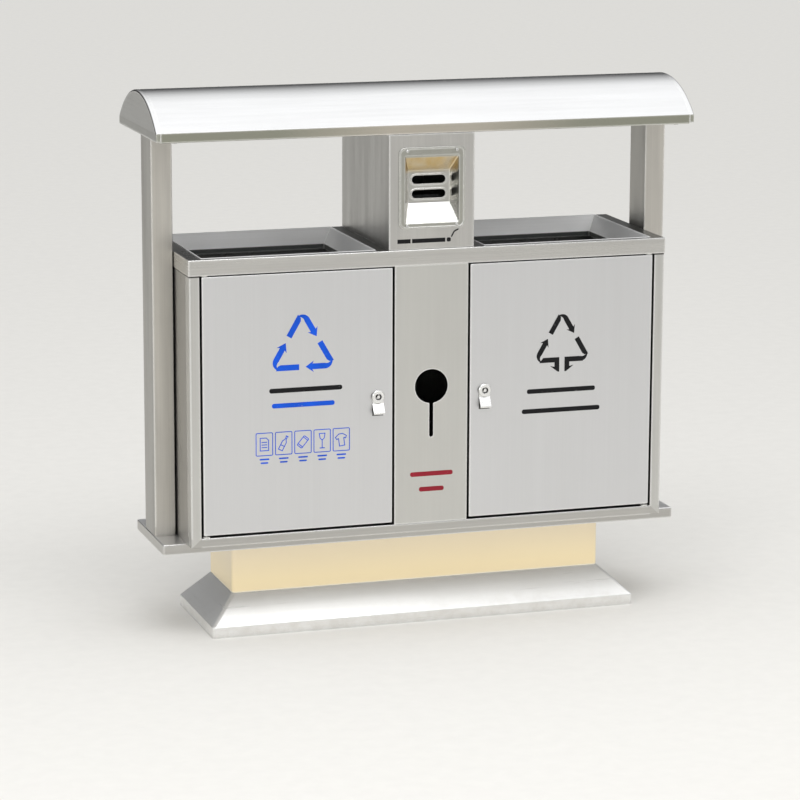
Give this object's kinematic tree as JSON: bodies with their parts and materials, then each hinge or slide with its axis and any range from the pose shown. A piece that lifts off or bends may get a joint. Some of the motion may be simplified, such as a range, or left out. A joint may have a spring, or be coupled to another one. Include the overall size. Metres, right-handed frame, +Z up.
{
  "type": "recycling bin station",
  "caption": "Stainless steel recycling bin station: locking doors under sloping inlet trays, a drop hole for hazardous waste, an ash unit on a column and an arched canopy on posts.",
  "frame": {"origin": "centre of the object's footprint on the ground, at the middle of its overall box", "axes": "+X to the right as seen from the front, +Y to the rear, +Z up; the front with the doors faces -Y"},
  "size_m": [1.064, 0.325, 1.037],
  "materials": {
    "brushed_stainless": "fine vertical or lengthwise grain, satin",
    "satin_stainless": "very fine grain, even satin sheen",
    "polished_stainless": "polished, nearly mirror",
    "foot_stainless": "polished with light grain",
    "polished_fittings": "pressed and polished",
    "galvanised_steel": "galvanised, dull with spangle",
    "zinc_plated_steel": "bright zinc plate",
    "black_rubber": "moulded, matt",
    "nylon": "turned, matt",
    "blue_print": "printed film",
    "black_print": "printed film",
    "red_print": "printed film"
  },
  "bodies": {
    "station": {"ash_cup": "galvanised_steel", "ash_cup_shelf": "galvanised_steel", "ash_panel": "polished_fittings", "ash_screws": "zinc_plated_steel", "back_panel": "brushed_stainless", "base_plate": "galvanised_steel", "bottom_rail": "brushed_stainless", "canopy_rivets": "zinc_plated_steel", "canopy_shell": "polished_stainless", "centre_canopy_bearer": "brushed_stainless", "centre_panel": "satin_stainless", "column_lid": "brushed_stainless", "column_shell": "brushed_stainless", "door_buffers": "black_rubber", "floor_pan": "brushed_stainless", "foot_skirt": "foot_stainless", "hazard_box": "galvanised_steel", "hazard_sign": "red_print", "left_canopy_bearer": "brushed_stainless", "left_canopy_cap": "polished_stainless", "left_inlet_tray": "brushed_stainless", "left_liner": "galvanised_steel", "left_partition": "brushed_stainless", "left_post": "brushed_stainless", "left_side_panel": "brushed_stainless", "left_stile": "brushed_stainless", "pedestal_box": "foot_stainless", "pivot_bushes": "nylon", "plinth_bolts": "zinc_plated_steel", "plinth_plate": "brushed_stainless", "right_canopy_bearer": "brushed_stainless", "right_canopy_cap": "polished_stainless", "right_inlet_tray": "brushed_stainless", "right_liner": "galvanised_steel", "right_partition": "brushed_stainless", "right_post": "brushed_stainless", "right_side_panel": "brushed_stainless", "right_stile": "brushed_stainless", "stub_out_sign": "black_print", "top_deck": "brushed_stainless", "top_pivot_brackets": "zinc_plated_steel"},
    "left_door_leaf": {"left_door": "satin_stainless", "left_door_stiffener": "brushed_stainless", "left_pivot_pins": "zinc_plated_steel", "left_lock_body": "polished_fittings", "left_lock_nut": "zinc_plated_steel", "left_finger_pull": "polished_fittings", "left_door_sign": "blue_print"},
    "left_lock_core": {"left_lock_plug": "polished_fittings", "left_lock_cam": "zinc_plated_steel"},
    "right_door_leaf": {"right_door": "satin_stainless", "right_door_stiffener": "brushed_stainless", "right_pivot_pins": "zinc_plated_steel", "right_lock_body": "polished_fittings", "right_lock_nut": "zinc_plated_steel", "right_finger_pull": "polished_fittings", "right_door_sign": "black_print"},
    "right_lock_core": {"right_lock_plug": "polished_fittings", "right_lock_cam": "zinc_plated_steel"}
  },
  "joints": [
    {"name": "left_door_hinge", "type": "hinge", "parent": "station", "child": "left_door_leaf", "pos_m": [-0.443, -0.1445, 0.456], "axis": [0, 0, -1], "range_deg": [0, 105]},
    {"name": "left_lock_turn", "type": "hinge", "parent": "left_door_leaf", "child": "left_lock_core", "pos_m": [-0.107, -0.1215, 0.457], "axis": [0, -1, 0], "range_deg": [0, 90]},
    {"name": "right_door_hinge", "type": "hinge", "parent": "station", "child": "right_door_leaf", "pos_m": [0.443, -0.1445, 0.456], "axis": [0, 0, 1], "range_deg": [0, 105]},
    {"name": "right_lock_turn", "type": "hinge", "parent": "right_door_leaf", "child": "right_lock_core", "pos_m": [0.107, -0.1215, 0.457], "axis": [0, 1, 0], "range_deg": [0, 90]}
  ]
}
